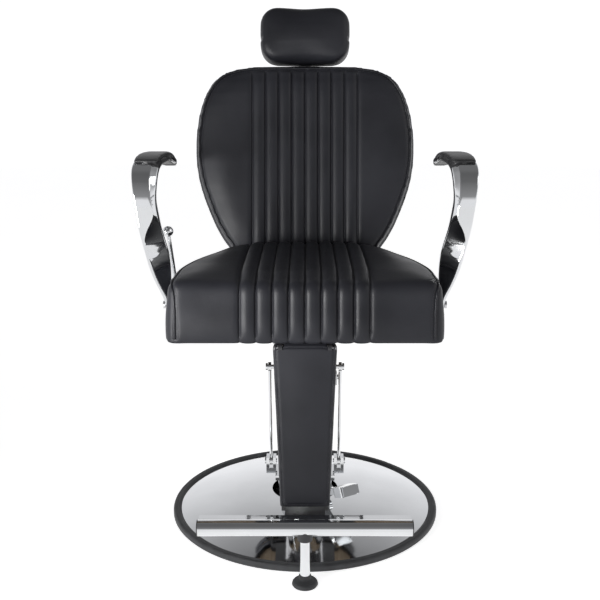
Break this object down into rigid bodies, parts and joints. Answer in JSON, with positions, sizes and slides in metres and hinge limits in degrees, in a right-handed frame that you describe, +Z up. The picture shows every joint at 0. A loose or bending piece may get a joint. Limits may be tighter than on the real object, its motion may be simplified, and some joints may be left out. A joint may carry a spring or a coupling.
{
  "type": "hydraulic barber chair",
  "caption": "Reclining barber chair on a round lift base: fluted black vinyl seat and back, sliding headrest, chrome arms, linked leg rest with footrest bar.",
  "frame": {"origin": "on the floor at the axis of the lift pump, under the middle of the round base", "axes": "+Z up along the lift; the chair faces -Y; +X is to the left of a person sitting in it"},
  "size_m": [0.695, 0.7721, 1.1424],
  "materials": {
    "chrome": "polished chrome plate",
    "rubber": "matt moulded rubber",
    "frame_paint": "satin black powder coat",
    "steel": "ground and zinc plated",
    "vinyl": "fine grained black vinyl, satin",
    "plywood": "raw plywood",
    "pad_plastic": "moulded soft black urethane"
  },
  "bodies": {
    "base": {"base_ring": "rubber", "base_plate": "frame_paint", "base_cover": "chrome", "pump_reservoir": "frame_paint", "pump_bolts": "steel", "pump_cylinder": "steel", "pump_cap": "steel", "wiper_seal": "rubber", "pump_housing": "chrome", "pump_skirt": "chrome", "pedal_pin": "steel"},
    "pedal": {"pedal_arm": "chrome", "pedal_tread": "chrome"},
    "lift": {"piston_rod": "steel", "piston_head": "steel", "piston_seal": "rubber"},
    "seat": {"swivel_hub": "frame_paint", "swivel_plate": "frame_paint", "hub_bolts": "steel", "seat_rails": "frame_paint", "seat_crossbars": "frame_paint", "seat_board": "plywood", "seat_cushion": "vinyl", "arm_left": "chrome", "arm_right": "chrome", "arm_pads": "pad_plastic", "arm_bolts": "steel", "back_brackets": "frame_paint", "back_pivot_pins": "steel", "lock_tube": "steel", "lock_hangers": "frame_paint", "legrest_brackets": "frame_paint", "link_top_pins": "chrome"},
    "backrest": {"back_uprights": "frame_paint", "back_crank_shaft": "steel", "back_board": "plywood", "back_cushion": "vinyl", "back_shell": "vinyl", "headrest_guide": "frame_paint"},
    "headrest": {"headrest_bar": "steel", "headrest_cushion": "vinyl"},
    "recline_lever": {"lever_rod": "chrome", "lever_ball": "chrome"},
    "lock_rod": {"lock_rod": "steel"},
    "drive_rod": {"drive_rod": "steel"},
    "legrest": {"legrest_shaft": "steel", "legrest_board": "plywood", "legrest_cushion": "vinyl", "legrest_ears": "frame_paint", "footrest_hinge_pin": "steel"},
    "link_rods": {"link_rods": "chrome"},
    "footrest": {"footrest_legs": "frame_paint", "link_brackets": "chrome", "link_lower_pins": "chrome", "footrest_beam": "frame_paint", "footrest_bar": "chrome", "footrest_caps": "pad_plastic", "footrest_tread": "chrome"},
    "levelling_foot": {"foot_post": "chrome", "foot_pad": "rubber"}
  },
  "joints": [
    {"name": "pedal_hinge", "type": "hinge", "parent": "base", "child": "pedal", "pos_m": [0.04027, -0.06445, 0.066], "axis": [0.848, 0.5299, 0], "range_deg": [0, 16], "stiffness_Nm_per_rad": 6, "springref_deg": -17.19},
    {"name": "lift", "type": "slide", "parent": "base", "child": "lift", "axis": [0, 0, 1], "range_m": [0, 0.15]},
    {"name": "swivel", "type": "hinge", "parent": "lift", "child": "seat", "pos_m": [0, 0, 0.4], "axis": [0, 0, 1], "continuous": true},
    {"name": "recline", "type": "hinge", "parent": "seat", "child": "backrest", "pos_m": [0, 0.215, 0.4525], "axis": [-1, 0, 0], "range_deg": [0, 40]},
    {"name": "headrest_slide", "type": "slide", "parent": "backrest", "child": "headrest", "axis": [0, 0.2079, 0.9781], "range_m": [0, 0.1]},
    {"name": "lever_pull", "type": "hinge", "parent": "seat", "child": "recline_lever", "pos_m": [-0.2, -0.066, 0.446], "axis": [-1, 0, 0], "range_deg": [0, 20], "stiffness_Nm_per_rad": 3, "springref_deg": -17.19},
    {"name": "lock_slide", "type": "slide", "parent": "seat", "child": "lock_rod", "axis": [0, -1, 0], "range_m": [0, 0.0309]},
    {"name": "drive_slide", "type": "slide", "parent": "seat", "child": "drive_rod", "axis": [0, -1, 0], "range_m": [0, 0.0309]},
    {"name": "legrest_hinge", "type": "hinge", "parent": "seat", "child": "legrest", "pos_m": [0, -0.279, 0.467], "axis": [-1, 0, 0], "range_deg": [0, 60]},
    {"name": "link_hinge", "type": "hinge", "parent": "seat", "child": "link_rods", "pos_m": [0, -0.239, 0.417], "axis": [-1, 0, 0], "range_deg": [0, 60]},
    {"name": "footrest_hinge", "type": "hinge", "parent": "legrest", "child": "footrest", "pos_m": [0, -0.24421, 0.25188], "axis": [1, 0, 0], "range_deg": [0, 60]},
    {"name": "foot_screw", "type": "slide", "parent": "footrest", "child": "levelling_foot", "axis": [0, 0, 1], "range_m": [0, 0.012]}
  ],
  "couplings": [
    {"joint": "legrest_hinge", "follows": "recline", "ratio": 1.5},
    {"joint": "link_hinge", "follows": "recline", "ratio": 1.5},
    {"joint": "footrest_hinge", "follows": "recline", "ratio": 1.5},
    {"joint": "lock_slide", "follows": "recline", "m_per_rad": 0.044118},
    {"joint": "drive_slide", "follows": "recline", "m_per_rad": 0.044118}
  ]
}
